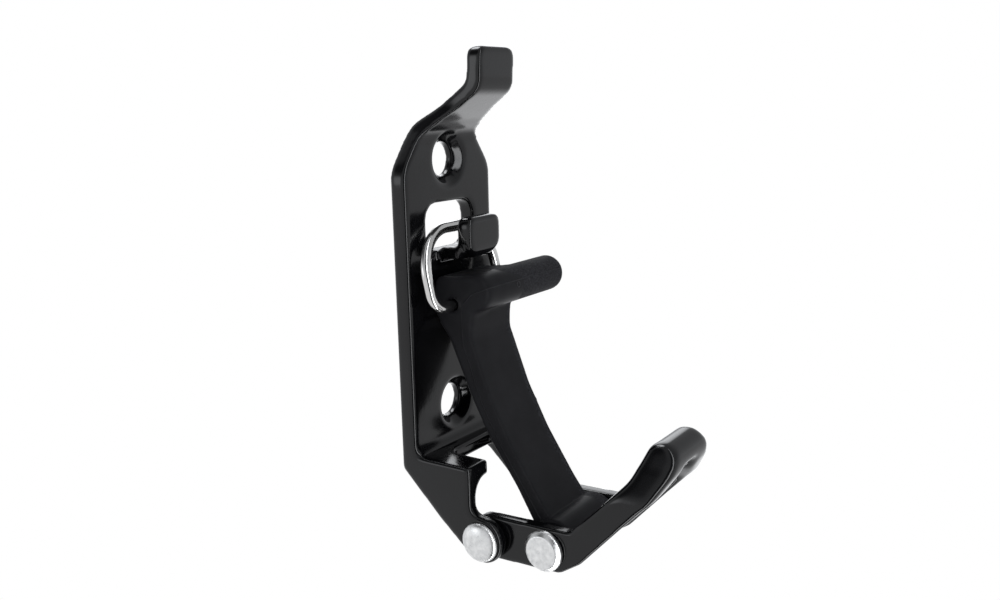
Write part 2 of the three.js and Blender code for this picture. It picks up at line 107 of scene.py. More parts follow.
def add(tree, kind, inputs=None, **settings):
    node = tree.nodes.new(kind)
    for name, value in settings.items():
        setattr(node, name, value)
    for name, value in (inputs or {}).items():
        socket = node.inputs[name]
        if isinstance(value, bpy.types.NodeSocket):
            tree.links.new(value, socket)
        else:
            socket.default_value = value
    return node


def new_material(name):
    material = bpy.data.materials.new(name)
    material.use_nodes = True
    tree = material.node_tree
    tree.nodes.clear()
    output = add(tree, "ShaderNodeOutputMaterial")
    shader = add(tree, "ShaderNodeBsdfPrincipled")
    tree.links.new(shader.outputs[0], output.inputs["Surface"])
    return material, tree, shader


print("helpers ready, black enamel is", [round(c, 4) for c in colour("#0b0b0d")[:3]])

# %% [markdown]
# ## Gloss black powder coat
# The bracket and the lever are steel under a thick black powder coat, baked until it flows. The eye sees
# almost no colour of its own, only clean reflections of the room, a faint orange-peel ripple about 1.5 mm
# across that makes them swim a little, and tiny changes in gloss where the coat pooled.


# %% Powder coat finish
def powder_coat(name, peel):
    material, tree, shader = new_material(name)
    place = add(tree, "ShaderNodeTexCoord").outputs["Object"]
    ripple = add(tree, "ShaderNodeTexNoise", {"Vector": place, "Scale": 620.0, "Detail": 2.0})
    pooled = add(tree, "ShaderNodeTexNoise", {"Vector": place, "Scale": 70.0, "Detail": 4.0})
    gloss = add(
        tree,
        "ShaderNodeMapRange",
        {"Value": pooled.outputs["Fac"], "From Min": 0.3, "From Max": 0.7, "To Min": 0.10, "To Max": 0.17},
    )
    depth = add(tree, "ShaderNodeValToRGB", {"Fac": pooled.outputs["Fac"]})
    depth.color_ramp.elements[0].position = 0.35
    depth.color_ramp.elements[0].color = colour("#050506")
    depth.color_ramp.elements[1].position = 0.7
    depth.color_ramp.elements[1].color = colour("#0a0a0c")
    bump = add(
        tree,
        "ShaderNodeBump",
        {"Height": ripple.outputs["Fac"], "Strength": peel, "Distance": 0.00006},
    )
    tree.links.new(depth.outputs["Color"], shader.inputs["Base Color"])
    tree.links.new(gloss.outputs["Result"], shader.inputs["Roughness"])
    tree.links.new(bump.outputs["Normal"], shader.inputs["Normal"])
    shader.inputs["IOR"].default_value = 1.45
    return material


bracket_coat = powder_coat("gloss_black_powder_coat_bracket", 0.2)
lever_coat = powder_coat("gloss_black_powder_coat_lever", 0.16)
print("made", bracket_coat.name, "and", lever_coat.name)

# %% [markdown]
# ## Moulded black rubber
# The strap is one piece of black rubber from a steel mould. Its flat sides are satin and even. The grip
# end of the pull bar came from a blasted part of the mould, so it is greyer and grainy. The grain is drawn
# about 0.5 mm across, coarser than the real one, so that it can be seen. A thin raised line shows where
# the two mould halves met. It is read from an attribute, the distance from the middle of the strap's side,
# so it follows the bow of the strap. One round mark is left by a pin that pushed the strap out.
# The mould line and the pin mark's rim are also painted lighter than the rubber round them, a painted
# highlight along their raised edges.

# %% Rubber finish
GRIP_FROM_X = 7.6 * MM
PIN_MARK = (5.0 * MM, -24.4 * MM, 0.4 * MM)


def band(tree, value, low, high, inside, outside):
    """A value that is `inside` below `low` and `outside` above `high`."""
    return add(
        tree,
        "ShaderNodeMapRange",
        {"Value": value, "From Min": low, "From Max": high, "To Min": inside, "To Max": outside},
    ).outputs["Result"]


def calculate(tree, operation, first, second=0.0):
    return add(tree, "ShaderNodeMath", {0: first, 1: second}, operation=operation).outputs[0]


def blend_colours(tree, factor, first, second):
    mix = add(tree, "ShaderNodeMix", data_type="RGBA")
    tree.links.new(factor, mix.inputs["Factor"])
    ends = [s for s in mix.inputs if s.type == "RGBA"]
    tree.links.new(first, ends[0])
    tree.links.new(second, ends[1])
    return [s for s in mix.outputs if s.type == "RGBA"][0]


def two_tone(tree, factor, dark, light, low=0.3, high=0.7):
    ramp = add(tree, "ShaderNodeValToRGB", {"Fac": factor})
    ramp.color_ramp.elements[0].position = low
    ramp.color_ramp.elements[0].color = colour(dark)
    ramp.color_ramp.elements[1].position = high
    ramp.color_ramp.elements[1].color = colour(light)
    return ramp.outputs["Color"]


def moulded_rubber():
    material, tree, shader = new_material("moulded_black_rubber")
    place = add(tree, "ShaderNodeTexCoord").outputs["Object"]
    axes = add(tree, "ShaderNodeSeparateXYZ", {"Vector": place})
    fine = add(tree, "ShaderNodeTexNoise", {"Vector": place, "Scale": 2000.0, "Detail": 3.0}).outputs["Fac"]
    cloud = add(tree, "ShaderNodeTexNoise", {"Vector": place, "Scale": 110.0, "Detail": 5.0}).outputs["Fac"]
    # The blasted part starts further left on top of the bar than on its front.
    upward = calculate(tree, "MAXIMUM", calculate(tree, "SUBTRACT", axes.outputs["Z"], 2.2 * MM), 0.0)
    slanted = calculate(tree, "ADD", axes.outputs["X"], calculate(tree, "MULTIPLY", upward, 2.6))
    edge = calculate(tree, "ADD", slanted, calculate(tree, "MULTIPLY", cloud, 1.2 * MM))
    grip = band(tree, edge, GRIP_FROM_X + 0.4 * MM, GRIP_FROM_X + 0.9 * MM, 0.0, 1.0)
    smooth = two_tone(tree, cloud, "#19191b", "#1f1f21")
    matte = two_tone(tree, fine, "#1a1a1c", "#313134", 0.3, 0.72)
    middle = add(tree, "ShaderNodeAttribute", attribute_name="mould_line").outputs["Fac"]
    line = band(tree, calculate(tree, "ABSOLUTE", middle), 0.05 * MM, 0.22 * MM, 1.0, 0.0)
    to_pin = add(tree, "ShaderNodeVectorMath", {0: place, 1: PIN_MARK}, operation="DISTANCE").outputs["Value"]
    off_rim = calculate(tree, "ABSOLUTE", calculate(tree, "SUBTRACT", to_pin, 0.75 * MM))
    rim = band(tree, off_rim, 0.06 * MM, 0.2 * MM, 1.0, 0.0)
    # The mould line and the pin mark's rim are raised in the bump and also painted lighter: a painted
    # highlight along them.
    raised_and_painted_highlight = calculate(tree, "MAXIMUM", line, rim)
    # Painted highlight: a lighter rubber colour laid along the raised line and the pin mark's rim.
    painted_highlight_colour = two_tone(tree, cloud, "#2a2a2c", "#323235")
    body = blend_colours(tree, grip, smooth, matte)
    shade = blend_colours(tree, calculate(tree, "MULTIPLY", raised_and_painted_highlight, 0.5), body, painted_highlight_colour)
    grain = calculate(tree, "MULTIPLY", fine, band(tree, grip, 0.0, 1.0, 0.08, 0.5))
    bump = add(
        tree,
        "ShaderNodeBump",
        {"Height": calculate(tree, "ADD", grain, raised_and_painted_highlight), "Strength": 0.9, "Distance": 0.00012},
    )
    tree.links.new(shade, shader.inputs["Base Color"])
    tree.links.new(band(tree, grip, 0.0, 1.0, 0.44, 0.7), shader.inputs["Roughness"])
    tree.links.new(bump.outputs["Normal"], shader.inputs["Normal"])
    shader.inputs["Specular IOR Level"].default_value = 0.06
    return material


strap_rubber = moulded_rubber()
print("made", strap_rubber.name)

# %% [markdown]
# ## Bright metals
# The ring is bent from drawn steel wire and polished, so fine draw lines run along it. The rivets are
# zinc plated after heading: bright, but a little cloudy, with small soft dents from the setting tool.


# %% Metal finishes
def drawn_wire_steel():
    material, tree, shader = new_material("polished_drawn_steel_wire")
    along = add(tree, "ShaderNodeAttribute", attribute_name="wire_place").outputs["Vector"]
    stretched = add(tree, "ShaderNodeMapping", {"Vector": along, "Scale": (60.0, 3000.0, 1.0)})
    lines = add(tree, "ShaderNodeTexNoise", {"Vector": stretched.outputs[0], "Scale": 1.0, "Detail": 3.0})
    gloss = add(
        tree,
        "ShaderNodeMapRange",
        {"Value": lines.outputs["Fac"], "From Min": 0.3, "From Max": 0.7, "To Min": 0.10, "To Max": 0.2},
    )
    bump = add(
        tree, "ShaderNodeBump", {"Height": lines.outputs["Fac"], "Strength": 0.12, "Distance": 0.00004}
    )
    tint = add(tree, "ShaderNodeValToRGB", {"Fac": lines.outputs["Fac"]})
    tint.color_ramp.elements[0].color = colour("#d2d1cf")
    tint.color_ramp.elements[1].color = colour("#e6e5e3")
    tree.links.new(tint.outputs["Color"], shader.inputs["Base Color"])
    tree.links.new(gloss.outputs["Result"], shader.inputs["Roughness"])
    tree.links.new(bump.outputs["Normal"], shader.inputs["Normal"])
    shader.inputs["Metallic"].default_value = 1.0
    return material


def bright_zinc():
    material, tree, shader = new_material("bright_zinc_plated_steel")
    place = add(tree, "ShaderNodeTexCoord").outputs["Object"]
    cloudy = add(tree, "ShaderNodeTexNoise", {"Vector": place, "Scale": 700.0, "Detail": 5.0})
    dents = add(tree, "ShaderNodeTexVoronoi", {"Vector": place, "Scale": 900.0}, feature="SMOOTH_F1")
    gloss = add(
        tree,
        "ShaderNodeMapRange",
        {"Value": cloudy.outputs["Fac"], "From Min": 0.3, "From Max": 0.7, "To Min": 0.26, "To Max": 0.38},
    )
    tint = add(tree, "ShaderNodeValToRGB", {"Fac": cloudy.outputs["Fac"]})
    tint.color_ramp.elements[0].position = 0.3
    tint.color_ramp.elements[0].color = colour("#dcdddd")
    tint.color_ramp.elements[1].position = 0.7
    tint.color_ramp.elements[1].color = colour("#fbfbfa")
    bump = add(
        tree, "ShaderNodeBump", {"Height": dents.outputs["Distance"], "Strength": 0.15, "Distance": 0.00008}
    )
    tree.links.new(tint.outputs["Color"], shader.inputs["Base Color"])
    tree.links.new(gloss.outputs["Result"], shader.inputs["Roughness"])
    tree.links.new(bump.outputs["Normal"], shader.inputs["Normal"])
    shader.inputs["Metallic"].default_value = 1.0
    return material


ring_steel = drawn_wire_steel()
rivet_zinc = bright_zinc()
print("made", ring_steel.name, "and", rivet_zinc.name)

# %% [markdown]
# ## Soft edges
# The bracket and the lever are flat bar that was punched, bent and then coated. The coat rounds every edge
# by about half a millimetre, outside corners and inside corners alike. Bevels would have to be picked edge
# by edge, so a copy of the CAD solid is remeshed into small even squares and relaxed a few times instead:
# flats stay flat, and each edge melts into the soft line that thick paint gives.


# %% Rounding a copy of a CAD solid
def copy_of(nodes, name):
    joined = bmesh.new()
    for node in nodes:
        joined.from_mesh(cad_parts[node].data)
    bmesh.ops.remove_doubles(joined, verts=joined.verts, dist=1e-7)
    mesh = bpy.data.meshes.new(name)
    joined.to_mesh(mesh)
    joined.free()
    piece = bpy.data.objects.new(name, mesh)
    bpy.context.scene.collection.objects.link(piece)
    return piece


def settle(piece):
    """Turns the piece's modifiers into its plain mesh."""
    bpy.context.view_layer.update()
    done = bpy.data.meshes.new_from_object(piece.evaluated_get(bpy.context.evaluated_depsgraph_get()))
    piece.modifiers.clear()
    old = piece.data
    piece.data = done
    bpy.data.meshes.remove(old)
    return piece


def melt_edges(piece, square, rounds):
    remesh = piece.modifiers.new("even squares", "REMESH")
    remesh.mode = "VOXEL"
    remesh.voxel_size = square
    relax = piece.modifiers.new("relax", "SMOOTH")
    relax.factor = 0.5
    relax.iterations = rounds
    return settle(piece)


def soften_where(piece, how_much, rounds):
    """Relaxes one region more than the rest: how_much gives 0 to 1 at each point."""
    group = piece.vertex_groups.new(name="softer")
    for v in piece.data.vertices:
        amount = how_much(v.co)
        if amount > 0:
            group.add([v.index], min(1.0, amount), "REPLACE")
    relax = piece.modifiers.new("relax more", "SMOOTH")
    relax.factor = 0.5
    relax.iterations = rounds
    relax.vertex_group = group.name
    settle(piece)
    piece.vertex_groups.clear()
    return piece


def swell_where(piece, how_much, most):
    """Moves one region out along its normals, to give back what relaxing took from it."""
    mesh = piece.data
    moves = [(v, v.normal * (most * min(1.0, how_much(v.co)))) for v in mesh.vertices if how_much(v.co) > 0]
    for v, move in moves:
        v.co += move
    mesh.update()


def calm_normals(piece, rounds):
    """Averages each normal with its neighbours', so that gloss doesn't show the remesh's faint steps."""
    mesh = piece.data
    normals = np.empty(len(mesh.vertices) * 3, dtype=np.float32)
    mesh.vertex_normals.foreach_get("vector", normals)
    normals = normals.reshape(-1, 3)
    pairs = np.empty(len(mesh.edges) * 2, dtype=np.int32)
    mesh.edges.foreach_get("vertices", pairs)
    first, second = pairs[0::2], pairs[1::2]
    for _ in range(rounds):
        total = normals.copy()
        np.add.at(total, first, normals[second])
        np.add.at(total, second, normals[first])
        normals = total / np.linalg.norm(total, axis=1, keepdims=True)
    mesh.normals_split_custom_set_from_vertices(normals)


def finish_piece(piece, material, calm=0):
    piece.data.materials.clear()
    piece.data.materials.append(material)
    for polygon in piece.data.polygons:
        polygon.use_smooth = True
    if calm:
        calm_normals(piece, calm)
    return piece


SINK_INNER_R = 4.75 * MM
SINK_OUTER_R = 7.5 * MM
SINK_DEPTH = 2.6 * MM
PLATE_T = 5 * MM
HOLE_Z = 35.5 * MM


def true_countersink(piece, hole_z):
    """Puts the cone of a screw hole exactly round again: remeshing leaves faint flats on it."""
    for v in piece.data.vertices:
        r = math.hypot(v.co.x, v.co.z - hole_z)
        if SINK_INNER_R < r < SINK_OUTER_R and -5.6 * MM < v.co.y < -1.8 * MM:
            cone_y = -PLATE_T + (SINK_OUTER_R - r) * SINK_DEPTH / (SINK_OUTER_R - SINK_INNER_R)
            inside = min(r - SINK_INNER_R, SINK_OUTER_R - r) - 0.3 * MM
            v.co.y += (cone_y - v.co.y) * max(0.0, min(1.0, inside / (0.5 * MM)))


print("edge tools ready, screw holes are cut to", round(2 * SINK_OUTER_R / MM, 1), "mm across")

# %% [markdown]
# ## Bracket
# One bar makes the plate, the neck, the lip, the tongue and the shelf. The crease under the neck is a sharp
# press bend, so it is relaxed less than the outer edges. The tongue's tab was cut with round lower corners,
# so those are relaxed far more. The countersinks are turned by a tool, so they are made exactly round again
# at the end.

# %% Bracket
CREASE_Z = 44.5 * MM
TAB_BACK_Y = -12.4 * MM
TAB_CORNER = (7.3 * MM, 8.2 * MM)


def away_from_crease(p):
    return math.hypot(p.y + PLATE_T, p.z - CREASE_Z) / (3 * MM) - 0.5


def tab_corners(p):
    off_corner = math.hypot(abs(p.x) - TAB_CORNER[0], p.z - TAB_CORNER[1])
    return (1.25 - off_corner / (3.2 * MM)) if p.y < TAB_BACK_Y else 0


bracket = melt_edges(copy_of(["wall_bracket"], "coated_bracket"), 0.42 * MM, 4)
soften_where(bracket, away_from_crease, 9)
soften_where(bracket, tab_corners, 60)
true_countersink(bracket, HOLE_Z)
true_countersink(bracket, -HOLE_Z)
finish_piece(bracket, bracket_coat, calm=4)
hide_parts("wall_bracket")
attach(bracket, "bracket")
print("bracket", len(bracket.data.polygons), "faces")

# %% [markdown]
# ## Hook lever
# The fork's tip is drawn round in the press before coating, so it is far softer than the punched edges.
# Relaxing it that much also makes it thinner, so the tip is then moved out by half a millimetre.

# %% Hook lever
lever = melt_edges(copy_of(["hook_lever"], "coated_lever"), 0.34 * MM, 13)
soften_where(lever, lambda p: (p.z + 57 * MM) / (11 * MM), 90)
swell_where(lever, lambda p: (p.z + 50 * MM) / (9 * MM), 0.5 * MM)
finish_piece(lever, lever_coat, calm=5)
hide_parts("hook_lever")
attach(lever, "lever")
print("lever", len(lever.data.polygons), "faces")

# %% [markdown]
# ## Rubber strap
# The real strap is one moulding. In the CAD it is cut in two, so that a slide can stand in for its
# stretch. Here the two halves are joined again by a short bridge and remeshed together, which also gives
# the soft edges that rubber has. The finished strap is one rigid piece, smooth across the join of the two CAD
# bodies.

# %% Joining the strap's two halves
SPLIT_PLACE = Vector((0, -24.2 * MM, -35.6 * MM))
SPLIT_UP = Vector((0, 0.47, 0.883)).normalized()


def bridge_across_split(piece, half_length):
    """Closes the cut between the two halves: the outline at the cut, drawn out both ways."""
    mesh = piece.data
    side = Vector((0, SPLIT_UP.z, -SPLIT_UP.y))
    offsets = [v.co - SPLIT_PLACE for v in mesh.vertices]
    near = [p for p in offsets if abs(p.dot(SPLIT_UP)) < 0.16 * MM]
    back = max(p.dot(side) for p in near)
    front = min(p.dot(side) for p in near)
    half_width = max(p.x for p in near)
    work = bmesh.new()
    work.from_mesh(mesh)
    block = bmesh.ops.create_cube(work, size=1.0)["verts"]
    for v in block:
        corner = v.co.copy()
        across = front + (back - front) * (corner.y + 0.5)
        v.co = SPLIT_PLACE + side * across + SPLIT_UP * (corner.z * 2 * half_length)
        v.co.x = corner.x * 2 * half_width
    work.to_mesh(mesh)
    work.free()
    return (back - front) / MM


strap = copy_of(["strap_foot", "strap_head"], "rubber_strap")
thickness = bridge_across_split(strap, 0.5 * MM)
melt_edges(strap, 0.36 * MM, 9)
print("strap joined,", round(thickness, 2), "mm thick at the cut")

# %% [markdown]
# ## Soft forms at the pull bar
# The pull bar isn't a rod stuck on the strap. Rubber flows from one into the other in the mould, with a
# hollow under the bar and no edge at all round its left end, so those two places are relaxed more.


# %% Soft forms at the pull bar
def near_the_bar(p):
    """1 in the hollow where the pull bar flows into the strap, fading out 7 mm away."""
    return 1.5 - math.hypot(p.y + 19.5 * MM, p.z + 6.5 * MM) / (6 * MM)


def left_end_of_bar(p):
    """1 round the bar's left end, which flows into the strap's head with no edge at all."""
    round_the_bar = 2.0 - math.hypot(p.y + 18.5 * MM, p.z + 1.5 * MM) / (4.6 * MM)
    return min(round_the_bar, (-p.x - 1 * MM) / (5 * MM))


soften_where(strap, near_the_bar, 26)
soften_where(strap, left_end_of_bar, 110)
print("strap relaxed under the bar and at its left end,", len(strap.data.vertices), "points")

# %% [markdown]
# ## Mould line
# The line where the mould's halves met runs up the middle of the strap's sides and into the bar. Each point
# keeps how far it is from that path, and the rubber's material draws the line from it, raised in the bump and
# painted lighter as a painted highlight. Then the strap takes the place of its two CAD halves.


# %% Mould line and the finished strap
def mark_mould_line(piece, path):
    """Keeps at each point its signed distance from a path in the strap's side view."""
    stored = piece.data.attributes.new("mould_line", "FLOAT", "POINT")
    for v in piece.data.vertices:
        here = Vector((v.co.y, v.co.z))
        best = None
        for a, b in zip(path, path[1:]):
            along = b - a
            t = max(0.0, min(1.0, (here - a).dot(along) / along.length_squared))
            off = here - (a + along * t)
            if best is None or off.length < abs(best):
                best = math.copysign(off.length, off.x * along.y - off.y * along.x)
        stored.data[v.index].value = best


middle_of_strap = [
    Vector((y * MM, z * MM))
    for y, z in (
        (-48.0, -70.0),
        (-45.2, -66.3),
        (-39.5, -60.0),
        (-35.5, -53.8),
        (-27.3, -41.6),
        (-21.1, -29.7),
        (-15.6, -14.5),
        (-15.4, -4.0),
        (-19.2, -0.3),
        (-25.8, 2.2),
    )
]
mark_mould_line(strap, middle_of_strap)
finish_piece(strap, strap_rubber)
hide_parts("strap_foot", "strap_head")
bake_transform(strap)
print("strap", len(strap.data.polygons), "faces")

# %% [markdown]
# ## Wire ring
# The ring is one length of 3 mm wire bent to a D. Its shape follows a path, so it is made with Geometry
# Nodes: a rectangle whose two lower corners are turned tightly and whose two upper corners are turned
# wide, swept with a round profile. Each point keeps how far it is along and around the wire, so that the
# draw lines can follow the bends.

# %% Ring tree
WIRE_R = 1.5 * MM
RING_HALF_W = 16.1 * MM
RING_TOP_R = 12.6 * MM
RING_FOOT_R = 4.4 * MM
RING_RISE = 20.85 * MM
RING_SET_BACK = 4.81 * MM
RING_FOOT = Vector((-1.8 * MM, -11.95 * MM, -4.1 * MM))


def named_input(tree, name, kind, value=None):
    socket = tree.interface.new_socket(name=name, in_out="INPUT", socket_type=kind)
    if value is not None:
        socket.default_value = value


def wire_ring_tree():
    tree = bpy.data.node_groups.new("bent wire ring", "GeometryNodeTree")
    tree.interface.new_socket(name="Geometry", in_out="OUTPUT", socket_type="NodeSocketGeometry")
    for name in ("Width", "Height", "Wire radius", "Top bend", "Foot bend"):
        named_input(tree, name, "NodeSocketFloat", 0.01)
    named_input(tree, "Metal", "NodeSocketMaterial")
    given = add(tree, "NodeGroupInput").outputs
    outline = add(
        tree, "GeometryNodeCurvePrimitiveQuadrilateral", {"Width": given["Width"], "Height": given["Height"]}
    )
    here = add(tree, "GeometryNodeInputPosition")
    height = add(tree, "ShaderNodeSeparateXYZ", {"Vector": here.outputs[0]})
    is_top = add(
        tree, "ShaderNodeMath", {0: height.outputs["Y"], 1: 0.0}, operation="GREATER_THAN"
    )
    bend = add(
        tree,
        "ShaderNodeMapRange",
        {"Value": is_top.outputs[0], "To Min": given["Foot bend"], "To Max": given["Top bend"]},
    )
    bent = add(
        tree,
        "GeometryNodeFilletCurve",
        {"Curve": outline.outputs[0], "Radius": bend.outputs["Result"], "Count": 28},
        mode="POLY",
    )
    even = add(tree, "GeometryNodeResampleCurve", {"Curve": bent.outputs[0], "Count": 320})
    along = add(tree, "GeometryNodeSplineParameter")
    keep_along = add(
        tree,
        "GeometryNodeStoreNamedAttribute",
        {"Geometry": even.outputs[0], "Name": "along", "Value": along.outputs["Length"]},
        data_type="FLOAT",
        domain="POINT",
    )
    profile = add(
        tree, "GeometryNodeCurvePrimitiveCircle", {"Resolution": 40, "Radius": given["Wire radius"]}
    )
    around = add(tree, "GeometryNodeSplineParameter")
    keep_around = add(
        tree,
        "GeometryNodeStoreNamedAttribute",
        {"Geometry": profile.outputs[0], "Name": "around", "Value": around.outputs["Factor"]},
        data_type="FLOAT",
        domain="POINT",
    )
    wire = add(
        tree,
        "GeometryNodeCurveToMesh",
        {"Curve": keep_along.outputs[0], "Profile Curve": keep_around.outputs[0]},
    )
    read_along = add(tree, "GeometryNodeInputNamedAttribute", {"Name": "along"}, data_type="FLOAT")
    read_around = add(tree, "GeometryNodeInputNamedAttribute", {"Name": "around"}, data_type="FLOAT")
    ring_round = add(
        tree, "ShaderNodeMath", {0: read_around.outputs[0], 1: 0.0094}, operation="MULTIPLY"
    )
    pair = add(
        tree, "ShaderNodeCombineXYZ", {"X": read_along.outputs[0], "Y": ring_round.outputs[0]}
    )
    placed = add(
        tree,
        "GeometryNodeStoreNamedAttribute",
        {"Geometry": wire.outputs[0], "Name": "wire_place", "Value": pair.outputs[0]},
        data_type="FLOAT_VECTOR",
        domain="POINT",
    )
    whole = add(tree, "GeometryNodeRealizeInstances", {"Geometry": placed.outputs[0]})
    coated = add(
        tree, "GeometryNodeSetMaterial", {"Geometry": whole.outputs[0], "Material": given["Metal"]}
    )
    add(tree, "NodeGroupOutput", {"Geometry": coated.outputs[0]})
    return tree


ring_tree = wire_ring_tree()
print("ring tree has", len(ring_tree.nodes), "nodes")

# %% [markdown]
# ## Ring in place
# The wire is bent lying flat, then stood up on its straight foot, leaned back towards the plate, and moved
# to its bore in the strap's head. The lean follows from how far up and how far back the ring's top is.


# %% Ring in place
def set_inputs(modifier, values):
    for item in modifier.node_group.interface.items_tree:
        if item.in_out == "INPUT" and item.name in values:
            modifier[item.identifier] = values[item.name]


ring_height = math.hypot(RING_RISE, RING_SET_BACK)
ring = bpy.data.objects.new("steel_ring", bpy.data.meshes.new("steel_ring"))
bpy.context.scene.collection.objects.link(ring)
bender = ring.modifiers.new("bend the wire", "NODES")
bender.node_group = ring_tree
set_inputs(
    bender,
    {
        "Width": 2 * RING_HALF_W,
        "Height": ring_height,
        "Wire radius": WIRE_R,
        "Top bend": RING_TOP_R,
        "Foot bend": RING_FOOT_R,
        "Metal": ring_steel,
    },
)
settle(ring)
stand = Matrix.Rotation(math.pi / 2, 4, "X") @ Matrix.Translation((0, ring_height / 2, 0))
lean = Matrix.Rotation(-math.atan2(RING_SET_BACK, RING_RISE), 4, "X")
ring.data.transform(Matrix.Translation(RING_FOOT) @ lean @ stand)
finish_piece(ring, ring_steel)
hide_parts("d_ring")
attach(ring, "ring")

# %% [markdown]
# ## Rivets, washers and sleeve
# These are all turned shapes on the same kind of axis, so one Geometry Nodes tree makes them: the object
# holds only the outline of its edge, and the tree spins that outline round a circle and closes the poles.
# The lever turns on two short domed rivets, one in each ear. The strap hangs on one long rivet that has a
# flat head with a broad chamfer.

# %% Turned parts tree
PIN_R = 2.8 * MM
HEAD_R = 5.65 * MM
HEAD_H = 2.2 * MM
TAIL_R = 4.4 * MM
TAIL_H = 1.6 * MM
WASHER_R = 5.4 * MM
WASHER_T = 1 * MM
GAP = 0.3 * MM
PIN_FIT = 0.08 * MM
LEVER_AXIS = (-26.8 * MM, -67.0 * MM)
STRAP_AXIS = (-45.2 * MM, -66.3 * MM)
EAR_X = 20 * MM
ARM_X = 16.2 * MM
ARM_INNER_X = 12.3 * MM


def turned_tree():
    tree = bpy.data.node_groups.new("turned part", "GeometryNodeTree")
    tree.interface.new_socket(name="Geometry", in_out="OUTPUT", socket_type="NodeSocketGeometry")
    named_input(tree, "Outline", "NodeSocketGeometry")
    named_input(tree, "Steps round", "NodeSocketInt", 96)
    named_input(tree, "Metal", "NodeSocketMaterial")
    given = add(tree, "NodeGroupInput").outputs
    outline = add(tree, "GeometryNodeMeshToCurve", {"Mesh": given["Outline"]})
    circle = add(
        tree, "GeometryNodeCurvePrimitiveCircle", {"Resolution": given["Steps round"], "Radius": 1e-6}
    )
    spun = add(
        tree,
        "GeometryNodeCurveToMesh",
        {"Curve": circle.outputs[0], "Profile Curve": outline.outputs[0]},
    )
    closed = add(tree, "GeometryNodeMergeByDistance", {"Geometry": spun.outputs[0], "Distance": 2e-5})
    whole = add(tree, "GeometryNodeRealizeInstances", {"Geometry": closed.outputs[0]})
    coated = add(
        tree, "GeometryNodeSetMaterial", {"Geometry": whole.outputs[0], "Material": given["Metal"]}
    )
    add(tree, "NodeGroupOutput", {"Geometry": coated.outputs[0]})
    return tree


turned_parts = turned_tree()
print("turned parts tree has", len(turned_parts.nodes), "nodes")

# %% [markdown]
# ## Outlines of rivets and washers
# A set rivet has a head, a shank and a smaller tail, and a washer is a closed outline away from the axis.
# Every corner is slightly rounded, because a bright metal edge shows as a thin light line only when it has
# some width.


# %% Outlines of rivets and washers
def soft_corners(points, radius, steps=4):
    """Rounds each corner of an outline that isn't on the axis."""
    made = [points[0]]
    for before, here, after in zip(points, points[1:], points[2:]):
        a, p, b = Vector(before), Vector(here), Vector(after)
        reach = min(radius, (a - p).length * 0.45, (b - p).length * 0.45)
        start, end = p + (a - p).normalized() * reach, p + (b - p).normalized() * reach
        for s in range(steps + 1):
            t = s / steps
            made.append(tuple(start * (1 - t) ** 2 + p * 2 * t * (1 - t) + end * t**2))
    return made + [points[-1]]


def turned(name, points, x, axis, closed=False):
    """A turned part from an outline of (radius, distance along X) points."""
    mesh = bpy.data.meshes.new(name)
    count = len(points)
    edges = [(i, i + 1) for i in range(count - 1)] + ([(count - 1, 0)] if closed else [])
    mesh.from_pydata([(r, h, 0) for r, h in points], edges, [])
    piece = bpy.data.objects.new(name, mesh)
    bpy.context.scene.collection.objects.link(piece)
    spin = piece.modifiers.new("spin the outline", "NODES")
    spin.node_group = turned_parts
    set_inputs(spin, {"Steps round": 96, "Metal": rivet_zinc})
    settle(piece)
    piece.data.transform(Matrix.Translation((x, *axis)) @ Matrix.Rotation(-math.pi / 2, 4, "Y"))
    work = bmesh.new()
    work.from_mesh(piece.data)
    bmesh.ops.remove_doubles(work, verts=work.verts, dist=2e-6)
    bmesh.ops.recalc_face_normals(work, faces=work.faces)
    work.to_mesh(piece.data)
    work.free()
    return finish_piece(piece, rivet_zinc)


def riveted_outline(head, shank):
    end = shank + TAIL_H
    tail = [(TAIL_R, shank), (TAIL_R, shank + TAIL_H * 0.55), (TAIL_R * 0.7, end), (0, end)]
    return soft_corners(head + [(HEAD_R, 0), (PIN_R, 0), (PIN_R, shank)] + tail, 0.3 * MM)


def long_rivet(name, half_width, axis, head):
    """Head on the left, shank through the joint, and the smaller set tail on the right."""
    shank = 2 * half_width + WASHER_T + 3 * GAP
    return turned(name, riveted_outline(head, shank), -half_width - GAP, axis)


def short_rivet(name, axis, on_the_right):
    """Domed head outside the ear, set tail inside the arm. The right one mirrors the left one."""
    shank = EAR_X + GAP - (ARM_INNER_X - GAP)
    piece = turned(name, riveted_outline(domed_head, shank), -EAR_X - GAP, axis)
    if on_the_right:
        piece.data.transform(Matrix.Scale(-1, 4, (1, 0, 0)))
        piece.data.flip_normals()
    return piece


def washer(name, inner, outer, start, length, axis):
    middle = (inner, length / 2)
    corners = [middle, (inner, 0), (outer, 0), (outer, length), (inner, length), middle]
    outline = soft_corners(corners, 0.2 * MM)[:-1]
    return turned(name, outline, start, axis, closed=True)


domed_head = [
    (HEAD_R * 0.98 * math.sin(a), -0.42 * MM - (HEAD_H - 0.42 * MM) * math.cos(a))
    for a in (math.radians(d) for d in (0, 10, 20, 30, 40, 50, 60, 70, 80, 88))
]
flat_head = [(0, -HEAD_H), (HEAD_R - 1.15 * MM, -HEAD_H), (HEAD_R, -HEAD_H + 1.05 * MM)]
print("outlines ready, domed head", len(domed_head), "points, flat head", len(flat_head))
